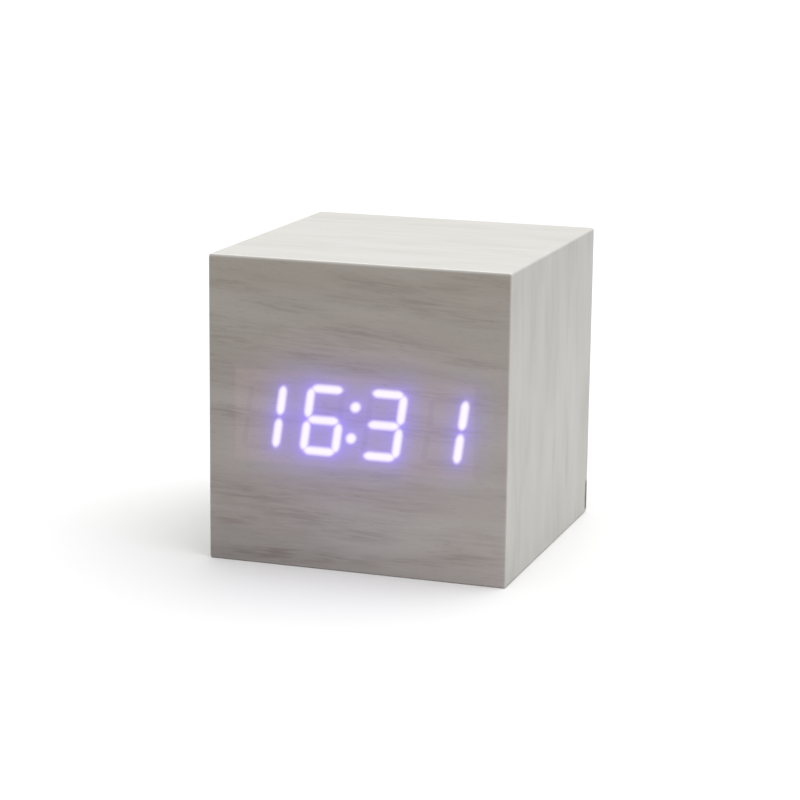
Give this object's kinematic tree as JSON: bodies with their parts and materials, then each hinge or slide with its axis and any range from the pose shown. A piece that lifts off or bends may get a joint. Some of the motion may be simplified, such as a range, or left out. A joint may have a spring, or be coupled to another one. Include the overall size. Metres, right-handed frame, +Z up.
{
  "type": "wooden alarm clock",
  "caption": "Small wooden cube alarm clock whose lit digits shine through the front veneer, with a rear cover that holds buttons, a power socket and a hinged battery door.",
  "frame": {"origin": "centre of the base, on the surface that the clock stands on", "axes": "+Z up, the display looks towards -Y, +X to the right as seen from the front"},
  "size_m": [0.063, 0.063, 0.063],
  "materials": {
    "pale_veneer": "whitewashed veneer with fine straight grain, matt",
    "fibreboard": "bare medium-density fibreboard",
    "pine": "sawn softwood",
    "white_plastic": "satin",
    "lit_resin": "clear resin, lit from behind",
    "unlit_resin": "clear resin, unlit",
    "led_phosphor": "phosphor",
    "board_green": "solder resist",
    "tinned_pin": "tinned",
    "screw_steel": "blackened steel",
    "chip_black": "matt moulding",
    "ribbon_grey": "flexible sheath",
    "cover_black": "finely textured moulding",
    "cell_sleeve": "printed sleeve, left bare",
    "nickel": "nickel plate",
    "lead_black": "flexible sheath",
    "lead_red": "flexible sheath",
    "button_grey": "satin moulding"
  },
  "bodies": {
    "case": {"case_veneer": "pale_veneer", "front_veneer": "pale_veneer", "top_board": "fibreboard", "right_board": "fibreboard", "bottom_board": "fibreboard", "left_board": "fibreboard", "front_board": "fibreboard", "glue_blocks": "pine", "display_housing": "white_plastic", "lit_segments": "lit_resin", "unlit_segments": "unlit_resin", "colon_dots": "lit_resin", "led_chips": "led_phosphor", "module_base": "board_green", "display_pins": "tinned_pin", "display_board": "board_green", "display_spacers": "white_plastic", "display_screws": "screw_steel", "driver_chip": "chip_black", "display_header": "white_plastic", "ribbon_cable": "ribbon_grey", "main_header": "white_plastic", "rear_cover": "cover_black", "cover_screws": "screw_steel", "battery_cells": "cell_sleeve", "battery_contacts": "nickel", "negative_lead": "lead_black", "positive_lead": "lead_red", "main_board": "board_green", "board_screws": "screw_steel", "clock_chip": "chip_black", "crystal": "nickel", "buzzer": "chip_black", "microphone": "nickel", "temperature_sensor": "chip_black", "push_switches": "chip_black", "sound_switch_body": "chip_black", "power_socket": "nickel", "power_socket_tongue": "chip_black"},
    "door": {"battery_door": "cover_black"},
    "set_key": {"set_button": "button_grey", "set_plunger": "button_grey"},
    "up_key": {"up_button": "button_grey", "up_plunger": "button_grey"},
    "down_key": {"down_button": "button_grey", "down_plunger": "button_grey"},
    "knob": {"sound_switch_knob": "button_grey"}
  },
  "joints": [
    {"name": "door_hinge", "type": "hinge", "parent": "case", "child": "door", "pos_m": [0, 0.0296, 0.0099], "axis": [-1, 0, 0], "range_deg": [0, 95]},
    {"name": "set_press", "type": "slide", "parent": "case", "child": "set_key", "axis": [0, -1, 0], "range_m": [0, 0.0005], "stiffness_N_per_m": 400},
    {"name": "up_press", "type": "slide", "parent": "case", "child": "up_key", "axis": [0, -1, 0], "range_m": [0, 0.0005], "stiffness_N_per_m": 400},
    {"name": "down_press", "type": "slide", "parent": "case", "child": "down_key", "axis": [0, -1, 0], "range_m": [0, 0.0005], "stiffness_N_per_m": 400},
    {"name": "sound_switch_slide", "type": "slide", "parent": "case", "child": "knob", "axis": [1, 0, 0], "range_m": [0, 0.002]}
  ]
}
